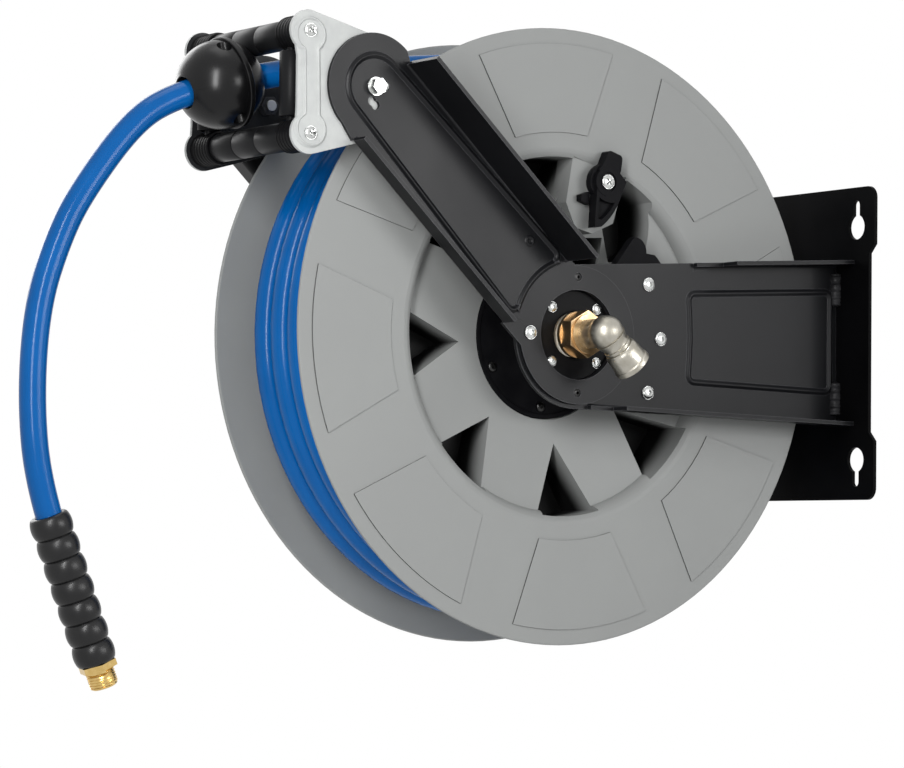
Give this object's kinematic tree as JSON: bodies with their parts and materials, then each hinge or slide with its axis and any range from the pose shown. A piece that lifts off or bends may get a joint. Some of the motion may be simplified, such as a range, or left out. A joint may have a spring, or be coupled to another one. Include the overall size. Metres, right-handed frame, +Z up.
{
  "type": "spring-return fire hose reel",
  "caption": "Wall-mounted spring-return fire hose reel: a moulded spool of half-inch hose between folded side arms, with a roller guide, hose stop, swivel inlet and latch.",
  "frame": {"origin": "centre of the wall plate's back face, where it meets the wall", "axes": "+Y into the wall, X along the spool's axis with the water inlet on the +X side, +Z up"},
  "size_m": [0.2517, 0.6626, 0.4874],
  "materials": {
    "black_coat": "satin powder coat",
    "zinc_plate": "zinc plated",
    "roller_plastic": "smooth moulded",
    "black_plastic": "smooth moulded",
    "cap_metal": "satin",
    "bush_plastic": "smooth",
    "grey_plastic": "fine grained moulding",
    "brass": "machined",
    "nickel_plate": "nickel plated casting",
    "spring_steel": "bright",
    "case_steel": "satin",
    "seal_rubber": "smooth rubber",
    "stop_gloss": "polished",
    "blue_hose": "smooth hose cover"
  },
  "bodies": {
    "frame": {"wall_plate": "black_coat", "near_base_arm": "black_coat", "far_base_arm": "black_coat", "arm_welds": "black_coat", "near_guide_arm": "black_coat", "far_guide_arm": "black_coat", "near_roller_bracket": "zinc_plate", "far_roller_bracket": "zinc_plate", "guide_arm_bolts": "zinc_plate", "guide_arm_nuts": "zinc_plate", "roller_axles": "zinc_plate", "side_roller_pins": "zinc_plate", "axle_screws": "zinc_plate", "cap_screws": "zinc_plate", "arm_screws": "zinc_plate", "arbor_nut": "zinc_plate", "stop_screws": "zinc_plate", "spring_arbor": "zinc_plate", "axle_collars": "roller_plastic", "ratchet_segment": "black_plastic", "bearing_cap": "cap_metal", "arbor_cap": "cap_metal", "bearing_housing": "cap_metal", "arbor_carrier": "cap_metal", "shaft_bush": "bush_plastic", "hose_ferrule": "brass", "hose_tail": "brass", "bend_restrictor": "seal_rubber", "stop_lower_half": "stop_gloss", "stop_upper_half": "stop_gloss", "hose_lead": "blue_hose", "free_hose": "blue_hose"},
    "spool": {"near_flange": "grey_plastic", "near_dish": "grey_plastic", "near_hub": "grey_plastic", "far_flange": "grey_plastic", "far_dish": "grey_plastic", "far_hub": "grey_plastic", "spool_tie_screws": "zinc_plate", "near_hub_disc": "black_plastic", "far_hub_disc": "black_plastic", "hub_screws": "zinc_plate", "hollow_shaft": "brass", "swivel_seals": "seal_rubber", "swivel_clip": "spring_steel", "spring_case": "case_steel", "spring_case_lid": "case_steel", "main_spring": "spring_steel", "arbor_bush": "bush_plastic", "drum_fitting": "brass", "inner_hose": "blue_hose", "hose_clamp": "spring_steel", "wound_hose": "blue_hose", "hose_core": "blue_hose", "pawl_screw": "zinc_plate", "pawl_spring": "spring_steel"},
    "pawl_body": {"pawl": "black_plastic"},
    "inlet_swivel": {"swivel_nut": "brass", "inlet_elbow": "nickel_plate"},
    "top_roller_body": {"top_roller": "roller_plastic"},
    "bottom_roller_body": {"bottom_roller": "roller_plastic"},
    "near_side_roller_body": {"near_side_roller": "roller_plastic"},
    "far_side_roller_body": {"far_side_roller": "roller_plastic"}
  },
  "joints": [
    {"name": "spool_spin", "type": "hinge", "parent": "frame", "child": "spool", "pos_m": [0, -0.248, -0.0026], "axis": [1, 0, 0], "range_deg": [0, 4410], "stiffness_Nm_per_rad": 0.104, "springref_deg": -2177.24},
    {"name": "pawl_swing", "type": "hinge", "parent": "spool", "child": "pawl_body", "pos_m": [0.0635, -0.21564, 0.11254], "axis": [1, 0, 0], "range_deg": [-55, 55], "stiffness_Nm_per_rad": 0.05},
    {"name": "inlet_spin", "type": "hinge", "parent": "frame", "child": "inlet_swivel", "pos_m": [0.09, -0.248, -0.0026], "axis": [1, 0, 0], "continuous": true},
    {"name": "top_roller_spin", "type": "hinge", "parent": "frame", "child": "top_roller_body", "pos_m": [0, -0.479, 0.2023], "axis": [1, 0, 0], "continuous": true},
    {"name": "bottom_roller_spin", "type": "hinge", "parent": "frame", "child": "bottom_roller_body", "pos_m": [0, -0.478, 0.13], "axis": [1, 0, 0], "continuous": true},
    {"name": "near_side_roller_spin", "type": "hinge", "parent": "frame", "child": "near_side_roller_body", "pos_m": [0.058, -0.4825, 0.166], "axis": [0, 0, 1], "continuous": true},
    {"name": "far_side_roller_spin", "type": "hinge", "parent": "frame", "child": "far_side_roller_body", "pos_m": [-0.058, -0.4825, 0.166], "axis": [0, 0, 1], "continuous": true}
  ]
}
